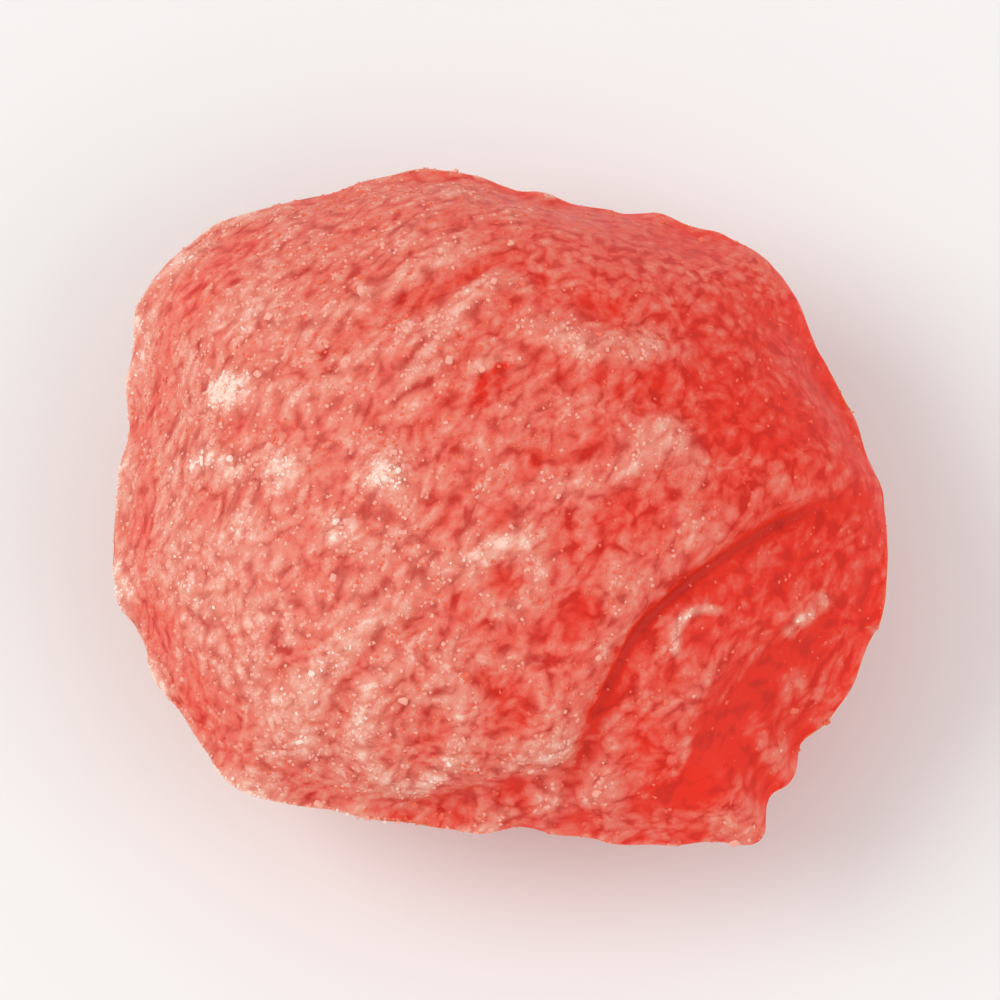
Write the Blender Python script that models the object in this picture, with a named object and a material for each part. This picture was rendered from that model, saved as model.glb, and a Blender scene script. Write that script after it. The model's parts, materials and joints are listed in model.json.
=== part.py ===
"""A hard candy drop: a rounded pillow of boiled sugar, pressed from a hot rope between two domed moulds.

The two domes meet in a ragged seam that runs round the drop. The upper dome was pressed a little to one
side, so it laps over a lower shelf there. Metres, +Z up, +X along the drop's length. The origin is in the
middle of the flat spot that the drop rests on, below the middle of its box.
"""

import math
from collections import namedtuple

import bmesh
import bpy
from mathutils import Matrix, Vector, noise

MM = 0.001

# The whole drop
NAME = "candy_drop"
LENGTH = 24.0 * MM
WIDTH = 21.7 * MM
THICKNESS = 12.6 * MM
CELLS_PER_SIDE = 30  # of the cube that is rounded into the drop
GRAIN_DIRECTION = 54  # degrees: the cells run along the fold and the wrinkles
GATHER_SHARE = 0.62  # how far the cells near the fold are drawn to it
GATHER_WIDTH = 1.6 * MM
GATHER_RELEASE = (0.85, 1.0)  # shares of the way out between which that ends
ON_SEAM = 1e-6  # a point of the unit sphere no higher than this lies on the seam

# The edge seen from above: flats, each with its direction in degrees and its distance from the middle
Flat = namedtuple("Flat", "direction distance")
EDGE_FLATS = (
    Flat(178, 11.7 * MM),
    Flat(143, 13.2 * MM),
    Flat(107, 11.4 * MM),
    Flat(73, 10.3 * MM),
    Flat(28, 11.15 * MM),
    Flat(-12, 12.2 * MM),
    Flat(-38, 12.25 * MM),
    Flat(-88, 11.0 * MM),
    Flat(-98, 10.5 * MM),
    Flat(-143, 12.2 * MM),
)
CORNER_SHARPNESS = 34
AT_RIM_ONLY = 14  # a power of the share of the way out: what it multiplies fades just inside the edge

# What sticks out of that edge or is chipped off it: directions and half widths in degrees
EdgeLump = namedtuple("EdgeLump", "direction half_width height")
EDGE_LUMPS = (
    EdgeLump(-174, 12, 0.35 * MM),
    EdgeLump(-159, 5, -0.45 * MM),
    EdgeLump(-53, 4, 0.75 * MM),
    EdgeLump(-44, 3, 0.30 * MM),
    EdgeLump(-38, 2.5, -0.25 * MM),
    EdgeLump(-77, 3, -0.25 * MM),
    EdgeLump(-86, 3, -0.20 * MM),
    EdgeLump(52, 22, 0.50 * MM),
    EdgeLump(68, 9, 0.20 * MM),
    EdgeLump(9, 4, -0.15 * MM),
    EdgeLump(121, 17, 0.44 * MM),
    EdgeLump(150, 24, 0.20 * MM),
)

# The two domes: each rises from the seam as height * (1 - share ** FULLNESS) ** SHOULDER
UPPER_DOME = 6.35 * MM
LOWER_DOME = 6.45 * MM
FULLNESS = 2.4
SHOULDER = 0.70
CROWN_RADIUS = 11.3 * MM  # the crowns are round, and the flats only show towards the seam
UPPER_CROWN_SHIFT = Vector((-0.9 * MM, 0.5 * MM, 0))
FOOT_CUT = 0.32 * MM  # taken off the lowest point, which leaves the flat spot
FOOT_RADIUS = 3.6 * MM

# The seam: a thin ridge that wanders up and down
RIDGE_HEIGHT = 0.28 * MM
RIDGE_HALF_ANGLE = math.radians(7)
RIDGE_RAGGEDNESS = 1.0
RAGS = ((1.2 * MM, 3.7), (3.6 * MM, 9.1))  # length of the short and the long rags, and the seed of each
SEAM_WAVES = ((2, 0.38 * MM, 0.6), (3, 0.25 * MM, 2.1))  # waves a turn, height, phase
WAVES_UP_DOME = 4  # a power of the share of the way out
SEAM_ZIGZAG = 0.45 * MM
ZIGZAG_LENGTH = 2.2 * MM
ZIGZAG_SEED = 7.7

# The lap fold: the upper dome ends on an arc, in a groove, and the shelf beyond it lies lower
FOLD_CENTRE = Vector((17.1 * MM, -14.9 * MM, 0))
FOLD_RADIUS = 15.9 * MM
FOLD_WAVER = 0.35 * MM
FOLD_WAVER_LENGTH = 3.0 * MM
FOLD_SEED = 5.3
FOLD_STEP = 0.34 * MM
FOLD_STEP_WIDTH = 0.55 * MM
FOLD_LIP = 0.12 * MM
FOLD_LIP_WIDTH = 0.9 * MM
FOLD_GROOVE = 0.22 * MM
FOLD_GROOVE_WIDTH = 0.34 * MM
SHELF_RECOVERY = (0.72, 0.99)  # shares of the way out between which the shelf rises back to the seam
EASING_PASSES = 1  # that smooth the fold after it is pressed
EASING_SHARE = 0.5
EASING_REACH = 1.1 * MM
LEDGE_OFFSET = 2.6 * MM  # from the fold out to a second, lower step
LEDGE_STEP = 0.24 * MM
LEDGE_RIDGE = 0.16 * MM
LEDGE_WIDTH = 0.55 * MM

# Wrinkles drawn into the skin as it set, in mm: a raised one has a height above zero
Wrinkle = namedtuple("Wrinkle", "start end bow width height")
WRINKLE_END = 0.13  # share of its length over which a wrinkle fades out at either end
UPPER_WRINKLES = (
    Wrinkle((1.0, 4.2), (5.7, 4.0), -0.4, 0.50, 0.18),
    Wrinkle((1.5, -1.1), (5.0, 1.3), -0.5, 0.45, 0.20),
    Wrinkle((5.0, 1.4), (6.3, -0.6), 0.2, 0.45, 0.16),
    Wrinkle((1.0, -2.3), (-5.9, -6.6), -0.4, 0.45, 0.16),
    Wrinkle((0.0, 6.0), (-3.2, 2.0), -0.4, 0.40, 0.15),
    Wrinkle((0.5, 7.1), (-6.0, 3.3), -0.2, 0.45, -0.16),
    Wrinkle((0.3, 2.8), (-0.8, 1.8), 0.0, 0.38, -0.20),
    Wrinkle((2.4, 5.5), (3.8, 5.0), 0.0, 0.38, -0.18),
    Wrinkle((1.4, 2.7), (5.4, 2.8), -0.2, 0.40, -0.14),
    Wrinkle((-1.0, -6.5), (0.6, -7.9), 0.2, 0.40, -0.14),
    Wrinkle((-4.1, -7.3), (-2.9, -9.1), 0.2, 0.40, 0.14),
    Wrinkle((3.1, -8.9), (-4.4, -10.2), 0.2, 0.38, -0.34),
    Wrinkle((5.3, -5.9), (6.8, -4.4), 0.7, 0.34, 0.24),
    Wrinkle((8.9, -4.9), (9.9, -3.8), 0.15, 0.34, 0.18),
)
LOWER_WRINKLES = (
    Wrinkle((-6.5, 4.5), (5.5, 6.8), 1.0, 0.55, 0.18),
    Wrinkle((-8.0, -1.5), (-1.8, -7.2), -0.8, 0.50, -0.20),
    Wrinkle((3.8, -5.2), (8.4, 0.4), 0.7, 0.45, 0.16),
)

# Rings left by bubbles that opened at the skin, in mm; some are open on one side, given in degrees
Ring = namedtuple("Ring", "centre radius width height open_to")
UPPER_RINGS = (
    Ring((2.8, -5.0), 0.50, 0.36, -0.22, None),
    Ring((-2.8, -7.9), 1.60, 0.40, 0.14, 80),
    Ring((0.2, -3.8), 1.00, 0.34, 0.12, None),
    Ring((0.0, 5.0), 0.95, 0.34, 0.12, -100),
)
RING_GAP = 60  # half width in degrees
LOWER_RINGS = (
    Ring((-4.6, 5.2), 1.20, 0.40, -0.16, None),
    Ring((6.2, -2.6), 0.80, 0.36, 0.18, 200),
)

# Clumps of sugar that set into the skin, and shallow dents pressed in while it was soft, in mm
Spot = namedtuple("Spot", "centre radius height")
UPPER_SPOTS = (
    Spot((-8.4, 2.6), 0.75, 0.24),
    Spot((-9.1, 0.6), 0.55, 0.16),
    Spot((-8.2, -0.1), 0.55, 0.14),
    Spot((-6.7, -0.3), 0.60, 0.20),
    Spot((-3.5, -0.6), 0.75, 0.24),
    Spot((-7.8, -1.7), 0.50, 0.12),
    Spot((-5.1, -2.3), 0.50, 0.14),
    Spot((5.0, 0.0), 1.20, 0.12),
    Spot((7.4, 5.4), 3.00, -0.25),
    Spot((-5.5, 7.6), 2.60, -0.12),
)
LOWER_SPOTS = (
    Spot((-7.0, -4.8), 2.60, -0.30),
    Spot((7.0, 4.6), 2.80, -0.32),
    Spot((5.2, -7.0), 2.00, -0.20),
    Spot((-8.2, 2.0), 0.70, 0.20),
    Spot((-2.2, 7.6), 0.60, 0.16),
    Spot((1.8, -7.6), 0.65, 0.18),
    Spot((8.2, -1.0), 0.60, 0.14),
)

# The skin is never quite even
UNEVENNESS = (  # length, height and seed
    (4.6 * MM, 0.09 * MM, 6.5),
    (1.9 * MM, 0.045 * MM, 3.8),
    (0.95 * MM, 0.035 * MM, 2.85),
)
CALM_AT_SEAM = (0.94, 1.02)  # shares of the way out between which the skin's relief fades
FOOT_MARGIN = 1.4  # the relief is whole again this many times the foot's radius out

# Boiled sugar, clear red under its dusting
CANDY_RED = (0.78, 0.065, 0.050, 1)
CANDY_ROUGHNESS = 0.42


def smooth_step(low, high, value):
    """0 below low, 1 above high, and a smooth rise between them."""
    share = min(max((value - low) / (high - low), 0.0), 1.0)
    return share * share * (3 - 2 * share)


def hump(distance, width):
    """1 at distance 0, falling to nothing within about two widths."""
    return math.exp(-((distance / width) ** 2))


def wandering(position, length, seed):
    """A smooth random height between about -1 and 1, on the scale of length."""
    return noise.noise(position / length + Vector((seed, seed, seed)))


def flats_radius(angle):
    """Distance from the middle to the flats in this direction, seen from above."""
    pull = sum(
        (max(math.cos(angle - math.radians(flat.direction)), 0.0) * MM / flat.distance) ** CORNER_SHARPNESS
        for flat in EDGE_FLATS
    )
    return MM * pull ** (-1 / CORNER_SHARPNESS)


def edge_lump(angle):
    total = 0.0
    for lump in EDGE_LUMPS:
        turn = math.remainder(math.degrees(angle) - lump.direction, 360)
        total += lump.height * math.exp(-((turn / lump.half_width) ** 4))
    return total


def seam_ridge(along, latitude):
    """How far the ragged ridge stands out of the edge."""
    ragged = 1 + RIDGE_RAGGEDNESS * sum(wandering(along, length, seed) for length, seed in RAGS)
    return RIDGE_HEIGHT * max(ragged, 0.0) * hump(latitude, RIDGE_HALF_ANGLE)


def seam_height(angle, along, share):
    """The seam rises and falls in long waves, which reach up the domes, and in a zigzag, which doesn't."""
    waves = sum(height * math.sin(count * angle + phase) for count, height, phase in SEAM_WAVES)
    zigzag = SEAM_ZIGZAG * wandering(along, ZIGZAG_LENGTH, ZIGZAG_SEED)
    return waves * share**WAVES_UP_DOME + zigzag * share**AT_RIM_ONLY


def pillow_point(direction):
    """Where a point of the unit sphere lands on the plain drop, with the seam's middle at height 0."""
    share = min(math.hypot(direction.x, direction.y), 1.0)
    angle = math.atan2(direction.y, direction.x)
    latitude = math.asin(max(min(direction.z, 1.0), -1.0))
    along = Vector((math.cos(angle), math.sin(angle), 0)) * LENGTH / 2
    rise = (1 - share**FULLNESS) ** SHOULDER
    height = UPPER_DOME * rise if direction.z > 0 else -LOWER_DOME * rise
    radius = CROWN_RADIUS + (flats_radius(angle) - RIDGE_HEIGHT - CROWN_RADIUS) * share**2
    radius += edge_lump(angle) * share**AT_RIM_ONLY
    reach = share * radius + seam_ridge(along, latitude)
    place = Vector((math.cos(angle) * reach, math.sin(angle) * reach, height))
    place.z += seam_height(angle, along, share)
    if direction.z > 0:
        place += UPPER_CROWN_SHIFT * (1 - share**2)
    return place


def share_of_way_out(place):
    flat = Vector((place.x, place.y, 0))
    return flat.length / flats_radius(math.atan2(place.y, place.x))


def depth_inside_fold(place):
    """Distance past the fold's line, towards the shelf."""
    flat = Vector((place.x, place.y, 0))
    waver = FOLD_WAVER * wandering(flat, FOLD_WAVER_LENGTH, FOLD_SEED)
    return FOLD_RADIUS + waver - (flat - FOLD_CENTRE).length


def fold_relief(place):
    """The lip, the groove at its foot, and the lower shelf with its second ledge."""
    inside = depth_inside_fold(place)
    recovery = 1 - smooth_step(*SHELF_RECOVERY, share_of_way_out(place))
    lip = FOLD_LIP * hump(inside + FOLD_STEP_WIDTH + FOLD_LIP_WIDTH / 2, FOLD_LIP_WIDTH)
    step = FOLD_STEP * smooth_step(-FOLD_STEP_WIDTH, 0, inside)
    groove = FOLD_GROOVE * hump(inside, FOLD_GROOVE_WIDTH)
    beyond = inside - LEDGE_OFFSET
    ridge = LEDGE_RIDGE * hump(beyond, LEDGE_WIDTH)
    ledge = LEDGE_STEP * smooth_step(0, LEDGE_WIDTH, beyond)
    return (lip - step - groove + ridge - ledge) * recovery


def wrinkle_relief(place, wrinkles):
    total = 0.0
    for wrinkle in wrinkles:
        start = Vector(wrinkle.start) * MM
        along = Vector(wrinkle.end) * MM - start
        across = Vector((-along.y, along.x)).normalized()
        offset = Vector((place.x, place.y)) - start
        share = offset.dot(along) / along.length_squared
        bow = wrinkle.bow * MM * math.sin(math.pi * min(max(share, 0.0), 1.0))
        fade = smooth_step(-WRINKLE_END, WRINKLE_END, share)
        fade *= 1 - smooth_step(1 - WRINKLE_END, 1 + WRINKLE_END, share)
        total += wrinkle.height * MM * fade * hump(offset.dot(across) - bow, wrinkle.width * MM)
    return total


def ring_relief(place, rings):
    total = 0.0
    for ring in rings:
        offset = Vector((place.x, place.y)) - Vector(ring.centre) * MM
        height = ring.height * MM
        if ring.open_to is not None:
            turn = math.remainder(math.degrees(math.atan2(offset.y, offset.x)) - ring.open_to, 360)
            height *= 1 - hump(turn, RING_GAP)
        total += height * hump(offset.length - ring.radius * MM, ring.width * MM)
    return total


def spot_relief(place, spots):
    total = 0.0
    for spot in spots:
        away = (Vector((place.x, place.y)) - Vector(spot.centre) * MM).length
        total += spot.height * MM * hump(away, spot.radius * MM)
    return total


def skin_relief(place, upper):
    """How far the skin stands above the plain drop here."""
    calm_at_seam = 1 - smooth_step(*CALM_AT_SEAM, share_of_way_out(place))
    total = sum(height * wandering(place, length, seed) for length, height, seed in UNEVENNESS)
    if upper:
        total += fold_relief(place)
        total += wrinkle_relief(place, UPPER_WRINKLES) * calm_at_seam
        total += ring_relief(place, UPPER_RINGS) * calm_at_seam
        total += spot_relief(place, UPPER_SPOTS) * calm_at_seam
    else:
        total += wrinkle_relief(place, LOWER_WRINKLES) * calm_at_seam
        total += ring_relief(place, LOWER_RINGS) * calm_at_seam
        total += spot_relief(place, LOWER_SPOTS) * calm_at_seam
        total *= smooth_step(FOOT_RADIUS, FOOT_RADIUS * FOOT_MARGIN, math.hypot(place.x, place.y))
    return total


def rounded_cube():
    """A cube with even cells, blown up to a unit sphere: no poles, and one row of edges along the seam."""
    bm = bmesh.new()
    bmesh.ops.create_cube(bm, size=2)
    bmesh.ops.subdivide_edges(bm, edges=bm.edges[:], cuts=CELLS_PER_SIDE - 1, use_grid_fill=True)
    turn = Matrix.Rotation(math.radians(GRAIN_DIRECTION), 3, "Z")
    for vert in bm.verts:
        evened = Vector(math.tan(c * math.pi / 4) for c in vert.co)
        vert.co = turn @ evened.normalized()
    return bm


def drawn_to_fold(direction):
    """Moves a direction on the upper half towards the fold's line, where the cells are finest."""
    place = pillow_point(direction)
    inside = depth_inside_fold(place)
    calm = 1 - smooth_step(*GATHER_RELEASE, share_of_way_out(place))
    shift = GATHER_SHARE * inside * hump(inside, GATHER_WIDTH) * calm
    towards = (Vector((place.x, place.y, 0)) - FOLD_CENTRE).normalized()
    moved = direction + towards * shift / CROWN_RADIUS
    moved.z = math.sqrt(max(1 - moved.x**2 - moved.y**2, 0))
    return moved


def ease_fold(bm, upper_verts):
    """The sugar flowed a little as it set, so the fold's line is even."""
    near = [
        vert
        for vert in upper_verts
        if abs(depth_inside_fold(vert.co) + FOLD_STEP_WIDTH / 2) < EASING_REACH
        and share_of_way_out(vert.co) < SHELF_RECOVERY[1]
    ]
    every_way = {"use_axis_x": True, "use_axis_y": True, "use_axis_z": True}
    for _ in range(EASING_PASSES):
        bmesh.ops.smooth_vert(bm, verts=near, factor=EASING_SHARE, **every_way)


def press_flat_foot(bm):
    lowest = min(vert.co.z for vert in bm.verts)
    for vert in bm.verts:
        vert.co.z = max(vert.co.z, lowest + FOOT_CUT)


def bring_to_size(bm):
    """Scales the drop to its length, width and thickness, and stands it on the origin."""
    low = Vector(min(vert.co[axis] for vert in bm.verts) for axis in range(3))
    high = Vector(max(vert.co[axis] for vert in bm.verts) for axis in range(3))
    middle = (low + high) / 2
    size = Vector((LENGTH, WIDTH, THICKNESS))
    for vert in bm.verts:
        place = vert.co - Vector((middle.x, middle.y, low.z))
        vert.co = Vector(place[axis] * size[axis] / (high[axis] - low[axis]) for axis in range(3))


def candy_material():
    material = bpy.data.materials.new("red boiled sugar")
    material.use_nodes = True
    shader = material.node_tree.nodes["Principled BSDF"]
    shader.inputs["Base Color"].default_value = CANDY_RED
    shader.inputs["Roughness"].default_value = CANDY_ROUGHNESS
    shader.inputs["Metallic"].default_value = 0.0
    return material


def candy_drop():
    bm = rounded_cube()
    is_upper = {}
    for vert in bm.verts:
        is_upper[vert] = vert.co.z > ON_SEAM
        if is_upper[vert]:
            vert.co = drawn_to_fold(vert.co)
        vert.co = pillow_point(vert.co)
    bm.normal_update()
    heights = {vert: skin_relief(vert.co, is_upper[vert]) for vert in bm.verts}
    for vert in bm.verts:
        vert.co += vert.normal * heights[vert]
    ease_fold(bm, [vert for vert in bm.verts if is_upper[vert]])
    press_flat_foot(bm)
    bring_to_size(bm)
    mesh = bpy.data.meshes.new(NAME)
    bm.to_mesh(mesh)
    bm.free()
    mesh.shade_smooth()
    mesh.materials.append(candy_material())
    return bpy.data.objects.new(NAME, mesh)


def main():
    for old in list(bpy.data.objects):
        bpy.data.objects.remove(old)
    collection = bpy.data.collections.new("hard candy drop")
    bpy.context.scene.collection.children.link(collection)
    collection.objects.link(candy_drop())


main()
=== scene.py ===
"""The looks of a hard candy drop: red boiled sugar, pressed into a pillow and tumbled in fine sugar.

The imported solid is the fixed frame. The candy replaces it in the same place, and every grain of sugar lies
inside the solid's box.
"""

import json
import math
from collections import namedtuple

import bpy
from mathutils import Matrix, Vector

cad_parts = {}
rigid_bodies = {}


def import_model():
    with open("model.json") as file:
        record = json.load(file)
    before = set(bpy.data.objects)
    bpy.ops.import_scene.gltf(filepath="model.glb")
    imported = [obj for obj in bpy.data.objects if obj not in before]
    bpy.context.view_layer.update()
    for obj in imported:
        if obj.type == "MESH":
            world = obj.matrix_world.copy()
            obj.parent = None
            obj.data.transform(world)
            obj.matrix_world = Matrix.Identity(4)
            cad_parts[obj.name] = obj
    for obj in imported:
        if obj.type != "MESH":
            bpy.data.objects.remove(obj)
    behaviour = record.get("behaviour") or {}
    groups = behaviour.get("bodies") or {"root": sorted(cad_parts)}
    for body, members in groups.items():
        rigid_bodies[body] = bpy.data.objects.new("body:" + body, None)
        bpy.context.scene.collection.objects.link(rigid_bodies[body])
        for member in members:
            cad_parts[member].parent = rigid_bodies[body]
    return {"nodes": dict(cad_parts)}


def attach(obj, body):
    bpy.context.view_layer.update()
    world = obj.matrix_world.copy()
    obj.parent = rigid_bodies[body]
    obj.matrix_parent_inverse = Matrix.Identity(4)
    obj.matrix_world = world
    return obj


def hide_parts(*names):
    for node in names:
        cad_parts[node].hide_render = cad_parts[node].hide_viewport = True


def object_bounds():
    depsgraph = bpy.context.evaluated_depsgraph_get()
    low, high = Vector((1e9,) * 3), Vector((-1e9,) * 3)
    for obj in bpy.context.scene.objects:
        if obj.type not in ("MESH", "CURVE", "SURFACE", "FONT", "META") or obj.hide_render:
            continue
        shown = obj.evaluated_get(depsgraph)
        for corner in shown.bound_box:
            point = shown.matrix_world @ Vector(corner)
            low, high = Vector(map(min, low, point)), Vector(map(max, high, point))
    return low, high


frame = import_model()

solid_box = [list(corner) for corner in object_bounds()]


# ---- The candy -----------------------------------------------------------------------------------------
# One piece of boiled sugar, coloured red. It was pressed hot from a rope into a pillow and lapped over
# itself on one side, so it carries a seam, a fold and fine wrinkles. Tumbling in sugar left its skin matt,
# under short lumps of half melted dust with bare gaps between them.

MM = 0.001
SUGAR_LAYER = 0.10  # mm from the solid's face down to the candy, which leaves room for the grains
MERGE_DISTANCE = 0.001 * MM
SQUARED_BELOW = math.radians(60)  # of difference in direction and corners, between triangles made quads
SKIN_LEVELS = 2

# The relief that tumbling and dusting add
WIDE_STEPS = 40  # over which the skin is evened out to find its wrinkles
NARROW_STEPS = 8  # and its creases
DOME_PROUD = 0.018  # mm that a plain dome stands above its own evened form
WRINKLE_SHARPENING = 0.35  # more height, as a share of the height that a wrinkle has
CREASE_DEPTH = 2.0  # more depth, as a share of the depth that a crease has
LUMPS_HEIGHT = 0.025  # mm
BARE_RELIEF = 0.35  # share of that height that is left where the candy is bare
STREAK_HEIGHT = 0.05  # mm


NOISE_STRAYS = 0.25  # from its middle, for smooth noise between 0 and 1


class Pattern:
    """One socket of a node tree. Arithmetic on patterns adds the Math nodes that work it out."""

    def __init__(self, tree, socket=None):
        self.tree = tree
        self.socket = socket

    def node(self, kind, settings=None, sockets=None, output=0):
        """Adds a node, makes its settings, fills its sockets with values or links, and gives an output."""
        made = self.tree.nodes.new(kind)
        for name, value in (settings or {}).items():
            setattr(made, name, value)
        for name, value in (sockets or {}).items():
            if isinstance(value, Pattern):
                self.tree.links.new(value.socket, made.inputs[name])
            else:
                made.inputs[name].default_value = value
        if made.outputs:
            return Pattern(self.tree, made.outputs[output])

    def maths(self, operation, *values):
        return self.node("ShaderNodeMath", {"operation": operation}, dict(enumerate(values)))

    def vectors(self, operation, *values, scale=None, output="Vector"):
        sockets = dict(enumerate(values))
        if scale is not None:
            sockets["Scale"] = scale
        return self.node("ShaderNodeVectorMath", {"operation": operation}, sockets, output)

    def __add__(self, other):
        return self.maths("ADD", self, other)

    def __sub__(self, other):
        return self.maths("SUBTRACT", self, other)

    def __rsub__(self, other):
        return self.maths("SUBTRACT", other, self)

    def __mul__(self, other):
        return self.maths("MULTIPLY", self, other)

    __radd__ = __add__
    __rmul__ = __mul__

    def __abs__(self):
        return self.maths("ABSOLUTE", self)

    def rise(self, low, high):
        """0 where the pattern is below low, 1 above high, and a smooth rise between them."""
        ends = {"Value": self, "From Min": low, "From Max": high}
        return self.node("ShaderNodeMapRange", {"interpolation_type": "SMOOTHSTEP"}, ends)

    def noise(self, length, detail=2.0, roughness=0.5):
        """Smooth random values about 0.5, for a pattern that is a place in mm."""
        looks = {"Vector": self, "Scale": 1 / length, "Detail": detail, "Roughness": roughness}
        return self.node("ShaderNodeTexNoise", None, looks)

    def wavy(self, length, reach):
        """The place, pushed about by up to about the reach, so that no pattern on it runs straight."""
        looks = {"Vector": self, "Scale": 1 / length, "Detail": 0.0}
        colour = self.node("ShaderNodeTexNoise", None, looks, output=1)
        push = colour.vectors("SUBTRACT", colour, (0.5, 0.5, 0.5))
        push = push.vectors("MULTIPLY", push, (reach / NOISE_STRAYS,) * 3)
        return self.vectors("ADD", self, push)

    def held_between(self, low, high):
        return self.maths("MINIMUM", self.maths("MAXIMUM", self, low), high)

    def colour_between(self, low, high):
        """The colour low where the pattern is 0, high where it is 1, and their mixture between."""
        return self.node("ShaderNodeMix", {"data_type": "RGBA"}, {0: self, 6: low, 7: high}, output=2)


def heading(degrees):
    """The level direction so many degrees round from +X."""
    return Vector((math.cos(math.radians(degrees)), math.sin(math.radians(degrees)), 0))


PULL = heading(52)  # of the hot rope that the candy was cut from
STREAK_WIDTH = 0.5  # mm
STREAK_STRETCH = 0.78  # share of their length by which the streaks are squeezed to plain noise
LUMP_STRETCH = 0.35  # the same for the lumps of half melted sugar
LUMP_SPACING = 0.38  # mm
LUMP_HEIGHT = 1.1  # in the pattern, over one spacing
LUMP_MIDDLE = 0.48  # of a spacing, from the middle of a lump to where the pattern is even
BLOT_SIZE = 0.36  # mm
BLOT_STRENGTH = 1.5
CURL_LENGTH = 1.0  # mm, over which the lumps turn
CURL_REACH = 0.14  # mm
CRUMBLE_LENGTH = 0.22  # mm, over which the lumps' edges crumble
CRUMBLE_REACH = 0.045  # mm


def squeezed(place, share):
    """The place with its length along the pull squeezed, so that a pattern there is drawn out."""
    along = place.vectors("DOT_PRODUCT", place, PULL, output="Value")
    return place.vectors("ADD", place, place.vectors("SCALE", PULL, scale=along * -share))


def lumps_of_dust(place):
    """How the dust and the half melted sugar lie in short lumps: 0.5 on the whole, and near 0 in the gaps."""
    curly = squeezed(place, LUMP_STRETCH).wavy(CURL_LENGTH, CURL_REACH).wavy(CRUMBLE_LENGTH, CRUMBLE_REACH)
    out_of_lump = curly.node("ShaderNodeTexVoronoi", None, {"Vector": curly, "Scale": 1 / LUMP_SPACING})
    lumps = (LUMP_MIDDLE - out_of_lump) * LUMP_HEIGHT
    return (curly.noise(BLOT_SIZE, detail=1.0) - 0.5) * BLOT_STRENGTH + lumps + 0.5


def streaks(place):
    """Faint long wrinkles about 0, along the pull of the hot rope."""
    return squeezed(place, STREAK_STRETCH).noise(STREAK_WIDTH, detail=1.0) - 0.5


# White clumps of sugar on the upper dome, in mm. The first and whitest is partly a painted glint
Clump = namedtuple("Clump", "centre radius whiteness")
CLUMPS = (
    # partly a painted glint on a cluster of crystals
    Clump((-8.4, 2.6), 0.75, 0.90),
    Clump((-3.45, -0.7), 1.0, 0.40),
    Clump((-9.1, 0.6), 0.65, 0.30),
    Clump((-8.2, -0.1), 0.50, 0.30),
    Clump((-6.7, -0.3), 0.75, 0.36),
    Clump((-7.8, -1.7), 0.55, 0.30),
    Clump((-5.1, -2.3), 0.50, 0.25),
    Clump((-2.9, 3.7), 0.50, 0.25),
)
CLUMP_EDGE = (0.3, 1.2)  # shares of the radius between which a clump thins out
CRUMB_LENGTH = 0.30  # mm, over which that edge crumbles
CRUMB_REACH = 1.1  # mm
UPPER_DOME = (6.5, 7.5)  # mm above the floor, between which the upper dome's own pattern sets in


def away_from(place, centre):
    """Distance in mm from the upright line through the centre, which is an x and a y."""
    towards = place.vectors("SUBTRACT", place, (*centre, 0))
    flat = towards.vectors("MULTIPLY", towards, (1, 1, 0))
    return flat.vectors("LENGTH", flat, output="Value")


def on_top(place):
    """1 on the upper dome, 0 from the seam down."""
    return place.node("ShaderNodeSeparateXYZ", None, {0: place}, output="Z").rise(*UPPER_DOME)


def clumps(place):
    """The whiteness in the middle of each clump of sugar, 0 outside all of them."""
    total = 0.0
    inner, outer = CLUMP_EDGE
    crumbling = (place.noise(CRUMB_LENGTH) - 0.5) * CRUMB_REACH
    for clump in CLUMPS:
        edge = away_from(place, clump.centre) + crumbling
        total = (1 - edge.rise(inner * clump.radius, outer * clump.radius)) * clump.whiteness + total
    return total * on_top(place)


# The dusting, which holds painted light too: how much lies on the whole, how it changes across the drop, each
# mm, and what disturbs it
EVEN_DUSTING = 0.21
# less dust towards the right is partly real dust and partly painted light: a paler lit left, a redder shaded
# right
DUST_AND_PAINTED_LIGHT_SLOPE = (-0.033, -0.004, 0.0)
STREAKS_SHOW = 0.5
PATCHINESS = ((1.2, 0.14), (2.6, 0.14), (5.5, 0.22))  # length in mm and strength
PROUD_DUST_AND_HIGHLIGHT = 5.0  # more dust for each mm that the skin stands proud, partly a painted highlight on crests and painted shade in hollows
PROUD_LIMITS = (-0.22, 0.28)  # the least and the most dust that comes of it
CREASE_SHEDS = 0.6

# The fold's arc as the solid has it, in mm. The candy was stretched thin there, and sheds its dust. Inside
# the arc lies the low shelf that the fold laps onto, and on the shelf a ledge
FOLD_CENTRE = Vector((17.1, -14.9, 0))
FOLD_RADIUS = 15.9
LEDGE_LIP = FOLD_RADIUS - 2.80
LEDGE_FOOT = FOLD_RADIUS - 3.35
STRETCHED = 3.4  # mm to each side of the fold
SHED = 0.12

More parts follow.
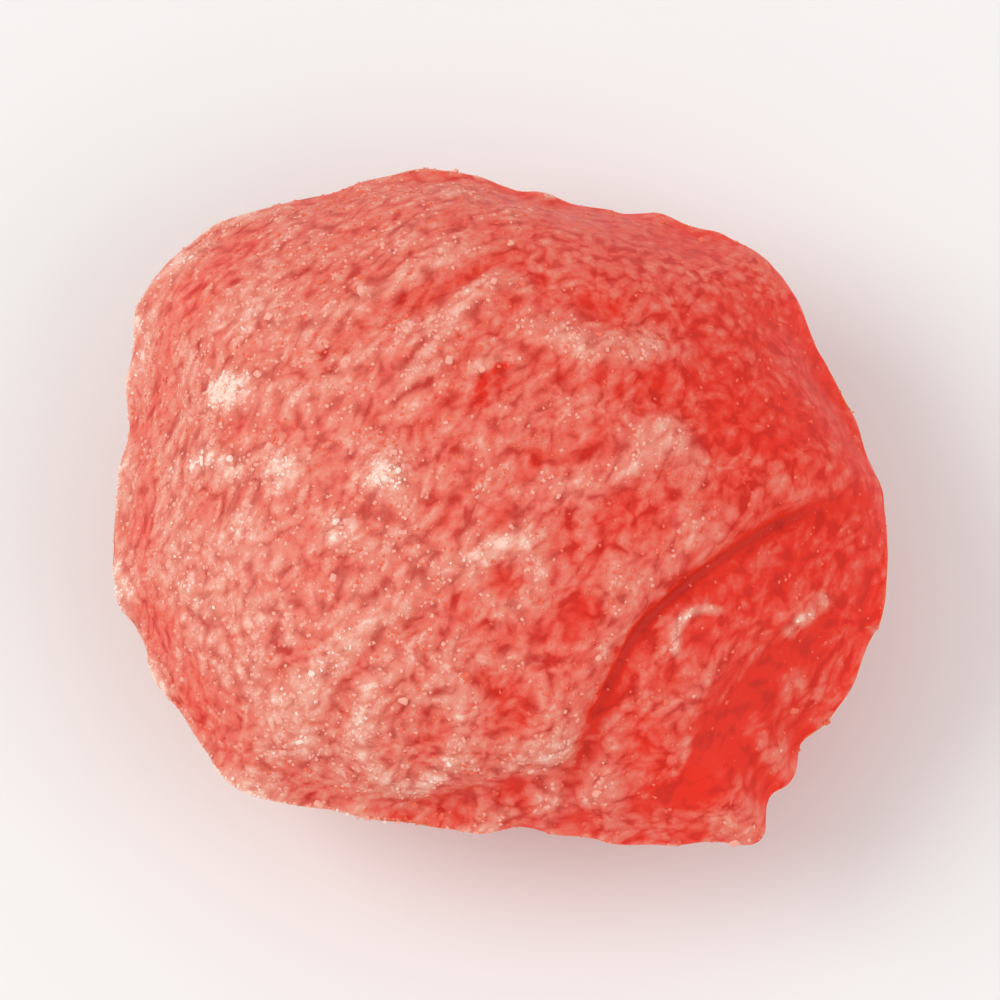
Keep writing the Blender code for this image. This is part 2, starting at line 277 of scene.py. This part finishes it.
# Where the upper dome is dusted more or less than around it, in mm
Patch = namedtuple("Patch", "centre radius amount")
PATCHES = (
    Patch((5.0, -0.1), 1.8, 0.18),
    Patch((5.7, -2.0), 1.3, 0.16),
    Patch((4.4, 2.9), 1.3, 0.12),
    Patch((-0.25, 2.3), 0.7, 0.26),
    Patch((2.2, 4.1), 0.9, 0.18),
    Patch((4.2, 4.0), 0.9, 0.22),
    Patch((-2.6, -3.2), 2.6, 0.08),
    Patch((-4.6, -7.0), 3.0, 0.08),
    Patch((9.9, -3.7), 0.30, 0.65),  # this and the next three are a row of crumbs on the shelf
    Patch((9.5, -4.2), 0.24, 0.50),
    Patch((9.2, -4.4), 0.28, 0.75),
    Patch((8.9, -4.9), 0.28, 0.65),
    Patch((8.9, -6.2), 0.50, 0.25),
    Patch((1.6, 2.0), 2.4, 0.14),
    Patch((-8.8, 6.4), 1.7, -0.16),
    Patch((3.9, 0.9), 1.4, 0.14),
    Patch((0.8, -2.4), 2.0, 0.13),
    Patch((2.2, -6.9), 1.4, -0.14),
    Patch((8.6, 1.0), 2.6, -0.10),
    Patch((2.2, -9.7), 2.0, 0.26),
    Patch((6.2, -9.5), 2.2, -0.36),
    Patch((3.6, -7.9), 0.6, 0.16),
    Patch((-1.2, 6.3), 1.4, 0.16),
    Patch((8.3, -5.3), 3.6, -0.14),
    Patch((7.2, -7.9), 1.0, -0.22),
)
PATCH_EDGE = 1.3  # radii from the middle, where a patch has thinned out

# Arcs of the upper dome that are dusted more or less than around them. Each has its centre, radius and
# width in mm, how much, the side in degrees on which it is open, and where it ends there, in radii
Arc = namedtuple("Arc", "centre radius width amount open_to end")
ARCS = (
    Arc((6.4, -5.5), 1.05, 0.16, 0.70, -45, -0.4),  # the rim of an opened bubble on the shelf, and three more
    Arc((-2.8, -7.9), 1.55, 0.20, 0.14, 80, 0.5),
    Arc((0.2, -3.8), 1.0, 0.18, 0.14, 0, 1.5),
    Arc((0.0, 5.0), 0.95, 0.18, 0.12, -100, 0.5),
    Arc((0.28, 1.70), 0.90, 0.10, -0.85, -48, -0.72),  # a bare slit
    Arc(FOLD_CENTRE.xy, LEDGE_LIP, 0.12, 0.26, 45, 0.16),
    Arc(FOLD_CENTRE.xy, LEDGE_FOOT, 0.36, -0.34, 45, 0.16),
    Arc((0.0, 0.0), 11.7, 1.0, -0.32, 40, 0.0),  # the drop's own rim, which rubbed
)
ARC_EDGE = (0.3, 1.6)  # widths from the middle of an arc's line, between which it thins out
ARC_END = 0.15  # share of the radius, to each side of an arc's end

# What counts as a crease, in mm below the evened skin. Less is enough in the fold itself, which thins out
# between two distances from its line and between two places along y, in mm
IN_CREASE = (0.012, 0.024)
IN_FOLD = (0.002, 0.012)
FOLD_WIDTH = (0.25, 0.55)
FOLD_ENDS = (-8.6, -6.2)


def from_fold(place):
    """Distance in mm from the fold's line, seen from above."""
    return abs(away_from(place, FOLD_CENTRE.xy) - FOLD_RADIUS)


def dusting(place, proud, crease):
    """How much dust lies here: about 0 where the candy is bare, as on the right, and 1 under thick dust, with
    painted light in it.
    """
    slope = place.vectors("DOT_PRODUCT", place, DUST_AND_PAINTED_LIGHT_SLOPE, output="Value")
    total = slope + EVEN_DUSTING + streaks(place) * STREAKS_SHOW
    for length, strength in PATCHINESS:
        total = total + (place.noise(length, detail=1.0) - 0.5) * strength
    upper = on_top(place)
    for patch in PATCHES:
        within = 1 - away_from(place, patch.centre).rise(0, PATCH_EDGE * patch.radius)
        total = total + within * upper * patch.amount
    total = total - (1 - from_fold(place).rise(0, STRETCHED)) * upper * SHED
    inner, outer = ARC_EDGE
    for arc in ARCS:
        from_line = abs(away_from(place, arc.centre) - arc.radius)
        line = 1 - from_line.rise(inner * arc.width, outer * arc.width)
        towards = heading(arc.open_to)
        middle = Vector((*arc.centre, 0)).dot(towards)
        reach = place.vectors("DOT_PRODUCT", place, towards, output="Value") - middle
        still_there = 1 - reach.rise((arc.end - ARC_END) * arc.radius, (arc.end + ARC_END) * arc.radius)
        total = total + line * still_there * upper * arc.amount
    # proud skin paler and hollows redder: partly dust, partly painted highlight and painted shade
    return total + (proud * PROUD_DUST_AND_HIGHLIGHT).held_between(*PROUD_LIMITS) - crease * CREASE_SHEDS


CRUSTS = (-0.2, 0.5)  # the dusting between which a crust sets in


def crust_of(dusted):
    """How much of the dust has melted into a crust: 0 on bare candy, 1 where it is well dusted."""
    return dusted.rise(*CRUSTS)


candy_solid = frame["nodes"]["candy_drop"]
bpy.ops.object.select_all(action="DESELECT")
candy = bpy.data.objects.new("boiled_sugar", candy_solid.data.copy())
bpy.context.scene.collection.objects.link(candy)
candy.select_set(True)
bpy.context.view_layer.objects.active = candy
bpy.ops.object.mode_set(mode="EDIT")
bpy.ops.mesh.select_all(action="SELECT")
bpy.ops.mesh.remove_doubles(threshold=MERGE_DISTANCE)
bpy.ops.mesh.tris_convert_to_quads(face_threshold=SQUARED_BELOW, shape_threshold=SQUARED_BELOW)
bpy.ops.object.mode_set(mode="OBJECT")
bpy.ops.mesh.customdata_custom_splitnormals_clear()
rounding = candy.modifiers.new("rounding", "SUBSURF")
rounding.levels = SKIN_LEVELS
rounding.render_levels = SKIN_LEVELS
bpy.ops.object.modifier_apply(modifier=rounding.name)


def shaped_by(piece, name):
    """A Geometry Nodes tree on the piece, as the pattern of the mesh that enters it."""
    tree = bpy.data.node_groups.new(name, "GeometryNodeTree")
    tree.interface.new_socket("Geometry", in_out="INPUT", socket_type="NodeSocketGeometry")
    tree.interface.new_socket("Geometry", in_out="OUTPUT", socket_type="NodeSocketGeometry")
    modifier = piece.modifiers.new(name, "NODES")
    modifier.node_group = tree
    return Pattern(tree).node("NodeGroupInput")


def finished(mesh):
    """Ends a Geometry Nodes tree and applies its modifier to the active piece."""
    mesh.node("NodeGroupOutput", None, {"Geometry": mesh})
    bpy.ops.object.modifier_apply(modifier=mesh.tree.name)


mesh = shaped_by(candy, "skin")
position = mesh.node("GeometryNodeInputPosition")
normal = mesh.node("GeometryNodeInputNormal")


def standing_proud(steps):
    """How far the skin stands above the form that so many evening steps leave, in mm."""
    looks = {"Value": position, "Iterations": steps}
    evened = position.node("GeometryNodeBlurAttribute", {"data_type": "FLOAT_VECTOR"}, looks)
    above = position.vectors("SUBTRACT", position, evened)
    return above.vectors("DOT_PRODUCT", above, normal, output="Value") * (1 / MM)


def with_value(mesh, name, value, kind="FLOAT"):
    """The mesh with a value stored on its points, for the material and the grains."""
    held = {"Geometry": mesh, "Name": name, "Value": value}
    return mesh.node("GeometryNodeStoreNamedAttribute", {"data_type": kind, "domain": "POINT"}, held)


place = position.vectors("MULTIPLY", position, (1 / MM,) * 3)
proud = standing_proud(WIDE_STEPS) - DOME_PROUD
hollow = (0 - standing_proud(NARROW_STEPS)) * on_top(place)
along_fold = place.node("ShaderNodeSeparateXYZ", None, {0: place}, output="Y").rise(*FOLD_ENDS)
in_fold = hollow.rise(*IN_FOLD) * (1 - from_fold(place).rise(*FOLD_WIDTH)) * along_fold
crease = hollow.rise(*IN_CREASE) + in_fold
mesh = with_value(mesh, "skin_place", place, "FLOAT_VECTOR")
mesh = with_value(mesh, "crease", crease)
dusted = dusting(place, proud, crease)
mesh = with_value(mesh, "dusting", dusted)
mesh = with_value(mesh, "clumps", clumps(place))
height = proud * WRINKLE_SHARPENING - hollow.held_between(0, 1) * CREASE_DEPTH
relief = crust_of(dusted) * (1 - BARE_RELIEF) + BARE_RELIEF
height = height + (lumps_of_dust(place) - 0.5) * relief * LUMPS_HEIGHT + streaks(place) * STREAK_HEIGHT
offset = normal.vectors("SCALE", normal, scale=(height - SUGAR_LAYER) * MM)
mesh = mesh.node("GeometryNodeSetPosition", None, {"Geometry": mesh, "Offset": offset})
finished(mesh)
candy.data.shade_smooth()

CLEAR_RED = (0.80, 0.031, 0.012, 1)
# the darker red of the painted shade in gaps and creases
SHADED_RED = (0.58, 0.018, 0.010, 1)
PINK_DUST = (0.82, 0.38, 0.28, 1)
WHITE_SUGAR = (0.97, 0.73, 0.61, 1)

# How the dust hides the candy: bare below the first amount of dust, hidden above the second, and pink
# where it lies thin to white where it lies thick
GRIT_LENGTH = 0.13  # mm
GRIT_ROUGHNESS = 0.65
GRIT_SHOWS = 0.42
GRIT_IN_CLUMPS = 1.5
LUMPS_SHOW = 0.62
CLUMPS_SHOW = 0.4
HIDES = (-0.35, 1.15)
WHITENS = (0.45, 1.35)

# Painted shade: the red is darkened in the gaps between lumps, more so where the crust is thick, and in
# creases
GAP_BELOW = 0.45
GAP_DEPTH = (0.0, 0.5)
GAPS_IN_CRUST = 0.4
GAPS_IN_BARE = 0.6
CREASE_GRIT = 0.9
CREASE_SHADE = (0.3, 1.3)
CREASES_SHOW = 0.5

material = bpy.data.materials.new("dusted red boiled sugar")
material.use_nodes = True
material.node_tree.nodes.clear()
start = Pattern(material.node_tree)
place = start.node("ShaderNodeAttribute", {"attribute_name": "skin_place"}, None, output="Vector")
crease = start.node("ShaderNodeAttribute", {"attribute_name": "crease"}, None, output="Fac")
# the dusting holds painted light: paler on the lit left, redder on the shaded right
dusted = start.node("ShaderNodeAttribute", {"attribute_name": "dusting"}, None, output="Fac")
clumped = start.node("ShaderNodeAttribute", {"attribute_name": "clumps"}, None, output="Fac")
lumpy = lumps_of_dust(place)
grit = place.noise(GRIT_LENGTH, roughness=GRIT_ROUGHNESS) - 0.5
gritty = grit * (clumped * GRIT_IN_CLUMPS + GRIT_SHOWS)
dust = dusted + (lumpy - 0.5) * LUMPS_SHOW + gritty + clumped * CLUMPS_SHOW
cover = dust.rise(*HIDES)
# painted shade: the red darkens in the gaps between lumps and in creases
shade_in_gap = (GAP_BELOW - lumpy).rise(*GAP_DEPTH) * (crust_of(dusted) * GAPS_IN_CRUST + GAPS_IN_BARE)
shade_in_crease = (crease + grit * CREASE_GRIT).rise(*CREASE_SHADE)
red = (shade_in_gap + shade_in_crease * CREASES_SHOW).held_between(0, 1).colour_between(CLEAR_RED, SHADED_RED)
sugar = dust.rise(*WHITENS).colour_between(PINK_DUST, WHITE_SUGAR)
bump = start.node("ShaderNodeBump", None, {"Strength": 0.3, "Distance": 0.06 * MM, "Height": grit})
candy_shader = start.node(
    "ShaderNodeBsdfPrincipled",
    None,
    {
        "Base Color": red,
        "Roughness": 0.40,
        "IOR": 1.5,
        "Specular IOR Level": 0.17,
        "Subsurface Weight": 0.85,
        "Subsurface Radius": (1.0, 0.12, 0.08),
        "Subsurface Scale": 2.2 * MM,
        "Normal": bump,
    },
)
dust_shader = start.node(
    "ShaderNodeBsdfPrincipled",
    None,
    {"Base Color": sugar, "Roughness": 0.85, "IOR": 1.45, "Specular IOR Level": 0.3, "Normal": bump},
)
surface = start.node("ShaderNodeMixShader", None, {0: cover, 1: candy_shader, 2: dust_shader})
start.node("ShaderNodeOutputMaterial", None, {"Surface": surface})
candy.data.materials.clear()
candy.data.materials.append(material)
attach(candy, "root")
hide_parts("candy_drop")


# ---- The sugar -----------------------------------------------------------------------------------------
# Cane sugar that the drop was tumbled in: fine dust, small grains, and a few whole crystals, most of them
# in the clumps. It sits on the lumps of the skin, half sunk where the candy was still soft, and misses the
# gaps.


def sugar_finish(name, colour, roughness):
    material = bpy.data.materials.new(name)
    material.use_nodes = True
    shader = material.node_tree.nodes["Principled BSDF"]
    shader.inputs["Base Color"].default_value = colour
    shader.inputs["Roughness"].default_value = roughness
    shader.inputs["IOR"].default_value = 1.54
    shader.inputs["Specular IOR Level"].default_value = 0.3
    return material


STAINED = sugar_finish("sugar stained by the candy", (0.85, 0.15, 0.085, 1), 0.45)
MILKY = sugar_finish("milky sugar", (0.88, 0.39, 0.30, 1), 0.45)
CLEAN = sugar_finish("clean white sugar", (0.95, 0.72, 0.62, 1), 0.40)

# Crystals are modelled one unit large and are scaled to their size in mm where they land
SHAPES_OF_CRYSTAL = ((1.0, 0.80, 0.62), (0.92, 0.92, 0.70), (1.1, 0.66, 0.58))
SPECK_RADIUS = 0.5
SPECK_HEIGHT = 0.75
GRAIN_SIDE = 0.8
CRYSTAL_SIDE = 0.85
CRYSTAL_CHAMFER = 0.13
SUNK = 0.2  # share of its size by which a grain sank into the soft candy, beyond its middle

# How thickly the grains lie, and how pale they are: 0 is stained by the candy and 2.25 clean
LUMPS_CATCH = 0.9
THICKNESS_LIMITS = (0.02, 1.0)
PALE_BY_CHANCE = 0.35
PALE_IN_DUST = 1.3
PALE_IN_CLUMPS = 0.7
PALENESS_RANGE = (0.0, 1.3)
PALEST = 2.25


def dust_speck(proportions):
    bpy.ops.mesh.primitive_cone_add(vertices=3, radius1=SPECK_RADIUS, depth=SPECK_HEIGHT, scale=proportions)
    bpy.ops.object.transform_apply(location=False, rotation=False, scale=True)


def small_grain(proportions):
    bpy.ops.mesh.primitive_cube_add(size=GRAIN_SIDE, scale=proportions)
    bpy.ops.object.transform_apply(location=False, rotation=False, scale=True)


def whole_crystal(proportions):
    bpy.ops.mesh.primitive_cube_add(size=CRYSTAL_SIDE, scale=proportions)
    bpy.ops.object.transform_apply(location=False, rotation=False, scale=True)
    bpy.ops.object.mode_set(mode="EDIT")
    bpy.ops.mesh.bevel(offset=CRYSTAL_CHAMFER, segments=1)
    bpy.ops.object.mode_set(mode="OBJECT")


def scattered_sugar(name, made_by, size, per_mm2, clumping, seed):
    """One piece: grains of one kind, of sizes between two in mm, lying as thickly as the dusting says."""
    kinds = bpy.data.collections.new(name + " kinds")
    for proportions, finish in zip(SHAPES_OF_CRYSTAL, (STAINED, MILKY, CLEAN)):
        made_by(proportions)
        crystal = bpy.context.object
        crystal.name = "%s %d" % (name, len(kinds.objects))
        crystal.data.materials.append(finish)
        for collection in crystal.users_collection:
            collection.objects.unlink(crystal)
        kinds.objects.link(crystal)
    piece = bpy.data.objects.new(name, bpy.data.meshes.new(name))
    bpy.context.scene.collection.objects.link(piece)
    bpy.context.view_layer.objects.active = piece
    start = shaped_by(piece, name)
    skin = start.node("GeometryNodeObjectInfo", None, {"Object": candy}, output="Geometry")
    position = start.node("GeometryNodeInputPosition")
    place, dusted, clumped = (
        start.node("GeometryNodeInputNamedAttribute", {"data_type": kind}, {"Name": stored})
        for kind, stored in (("FLOAT_VECTOR", "skin_place"), ("FLOAT", "dusting"), ("FLOAT", "clumps"))
    )
    caught = (dusted + (lumps_of_dust(place) - 0.5) * LUMPS_CATCH).held_between(*THICKNESS_LIMITS)
    density = (caught + clumped * clumping) * (per_mm2 / MM**2)
    scattered = start.node(
        "GeometryNodeDistributePointsOnFaces",
        {"distribute_method": "RANDOM"},
        {"Mesh": skin, "Density": density, "Seed": seed},
    )
    turned = start.node(
        "FunctionNodeRandomValue",
        {"data_type": "FLOAT_VECTOR"},
        {0: (0, 0, 0), 1: (math.tau,) * 3, "Seed": seed + 1},
    )
    sized = start.node(
        "FunctionNodeRandomValue",
        {"data_type": "FLOAT"},
        {2: size[0] * MM, 3: size[1] * MM, "Seed": seed + 2},
        output=1,
    )
    outward = Pattern(scattered.tree, scattered.socket.node.outputs["Normal"])
    sunk = outward.vectors("SCALE", outward, scale=sized * -SUNK)
    points = start.node("GeometryNodeSetPosition", None, {"Geometry": scattered, "Offset": sunk})
    drawn = start.node("FunctionNodeRandomValue", {"data_type": "FLOAT"}, {"Seed": seed + 3}, output=1)
    paleness = drawn * PALE_BY_CHANCE + dusted * PALE_IN_DUST + clumped * PALE_IN_CLUMPS
    chosen = paleness.rise(*PALENESS_RANGE) * PALEST  # cut to a whole number, the place in kinds
    crystals = start.node(
        "GeometryNodeCollectionInfo",
        None,
        {"Collection": kinds, "Separate Children": True, "Reset Children": True},
    )
    placed = start.node(
        "GeometryNodeInstanceOnPoints",
        None,
        {
            "Points": points,
            "Instance": crystals,
            "Pick Instance": True,
            "Instance Index": chosen,
            "Rotation": turned,
            "Scale": sized,
        },
    )
    mesh = start.node("GeometryNodeRealizeInstances", None, {"Geometry": placed})
    inside = position.vectors("MAXIMUM", position, tuple(solid_box[0]))
    inside = inside.vectors("MINIMUM", inside, tuple(solid_box[1]))
    finished(mesh.node("GeometryNodeSetPosition", None, {"Geometry": mesh, "Position": inside}))
    for crystal in list(kinds.objects):
        bpy.data.objects.remove(crystal)
    bpy.data.collections.remove(kinds)
    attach(piece, "root")


scattered_sugar("sugar_dust", dust_speck, size=(0.08, 0.14), per_mm2=120, clumping=0.5, seed=11)
scattered_sugar("small_grains", small_grain, size=(0.11, 0.18), per_mm2=32, clumping=0.4, seed=23)
scattered_sugar("whole_crystals", whole_crystal, size=(0.26, 0.42), per_mm2=0.4, clumping=22.0, seed=37)


# ---- Floor, light and camera ---------------------------------------------------------------------------
# A pale floor in a white room, with a large soft light on the upper left, where the photograph has it, and
# a weaker one across from it. The camera keeps the photograph's angle and moves closer.

SEAM_MIDDLE = Vector((0, 0, 6.3 * MM))
CAMERA_ELEVATION = math.radians(75)
CAMERA_DISTANCE = 360 * MM
FRAME_WIDTH = 30.75 * MM  # across the picture, at the drop
SENSOR_WIDTH = 36.0  # mm, as Blender counts it
NEAREST_SEEN = 10 * MM
FLOOR_SIZE = 2000 * MM
FLOOR_COLOUR = (0.86, 0.85, 0.84, 1)
FLOOR_ROUGHNESS = 0.8
ROOM_BRIGHTNESS = 0.72

bpy.ops.object.select_all(action="DESELECT")
bpy.ops.mesh.primitive_plane_add(size=FLOOR_SIZE, location=(0, 0, 0))
floor = bpy.context.object
floor.name = "floor"
pale = bpy.data.materials.new("pale floor")
pale.use_nodes = True
pale.node_tree.nodes["Principled BSDF"].inputs["Base Color"].default_value = FLOOR_COLOUR
pale.node_tree.nodes["Principled BSDF"].inputs["Roughness"].default_value = FLOOR_ROUGHNESS
floor.data.materials.append(pale)


def soft_light(name, place, size, power):
    light = bpy.data.lights.new(name, "AREA")
    light.shape = "DISK"
    light.size = size
    light.energy = power
    lamp = bpy.data.objects.new(name, light)
    lamp.location = place
    lamp.rotation_euler = (SEAM_MIDDLE - Vector(place)).to_track_quat("-Z", "Y").to_euler()
    bpy.context.scene.collection.objects.link(lamp)


soft_light("key light", place=(-0.30, 0.03, 0.33), size=0.30, power=0.75)
soft_light("fill light", place=(0.35, -0.20, 0.35), size=0.50, power=0.6)

world = bpy.data.worlds.new("white room")
world.use_nodes = True
world.node_tree.nodes["Background"].inputs["Color"].default_value = (1, 1, 1, 1)
world.node_tree.nodes["Background"].inputs["Strength"].default_value = ROOM_BRIGHTNESS
bpy.context.scene.world = world

lens = bpy.data.cameras.new("camera")
lens.sensor_width = SENSOR_WIDTH
lens.lens = SENSOR_WIDTH * CAMERA_DISTANCE / FRAME_WIDTH
lens.clip_start = NEAREST_SEEN
camera = bpy.data.objects.new("camera", lens)
back = Vector((0, -math.cos(CAMERA_ELEVATION), math.sin(CAMERA_ELEVATION)))
camera.location = SEAM_MIDDLE + back * CAMERA_DISTANCE
camera.rotation_euler = (-back).to_track_quat("-Z", "Y").to_euler()
bpy.context.scene.collection.objects.link(camera)
bpy.context.scene.camera = camera
bpy.context.scene.view_settings.view_transform = "Standard"
